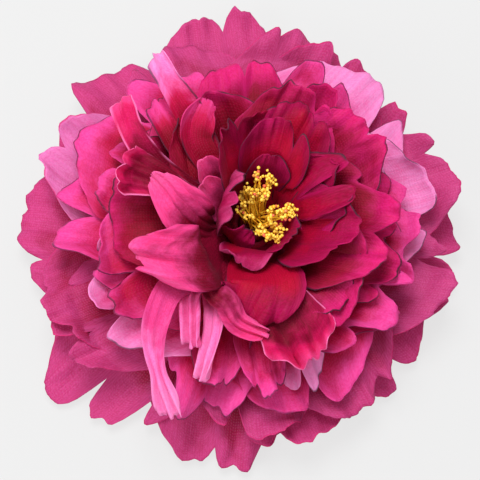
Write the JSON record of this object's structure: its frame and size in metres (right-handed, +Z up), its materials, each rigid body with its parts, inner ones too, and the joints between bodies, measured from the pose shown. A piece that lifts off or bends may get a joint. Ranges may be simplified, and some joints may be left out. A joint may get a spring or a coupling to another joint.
{
  "type": "peony",
  "caption": "Full double peony bloom with layered ruffled petals round a cup of stamens, lying on its back on a short green calyx.",
  "frame": {"origin": "centre of the flush-cut stem end under the calyx, on the surface that the bloom rests on", "axes": "+Z up out of the bloom's face, +Y towards the top of the bloom as it is pictured, +X to its right"},
  "size_m": [0.1505, 0.1584, 0.0586],
  "materials": {
    "petals": "fine satin weave",
    "stamens": "satin",
    "calyx": "matte",
    "receptacle": "matte"
  },
  "bodies": {
    "root": {"receptacle": "receptacle", "calyx": "calyx", "guard_petals": "petals", "outer_petals": "petals", "middle_petals": "petals", "inner_petals": "petals", "stamens": "stamens"}
  },
  "joints": []
}
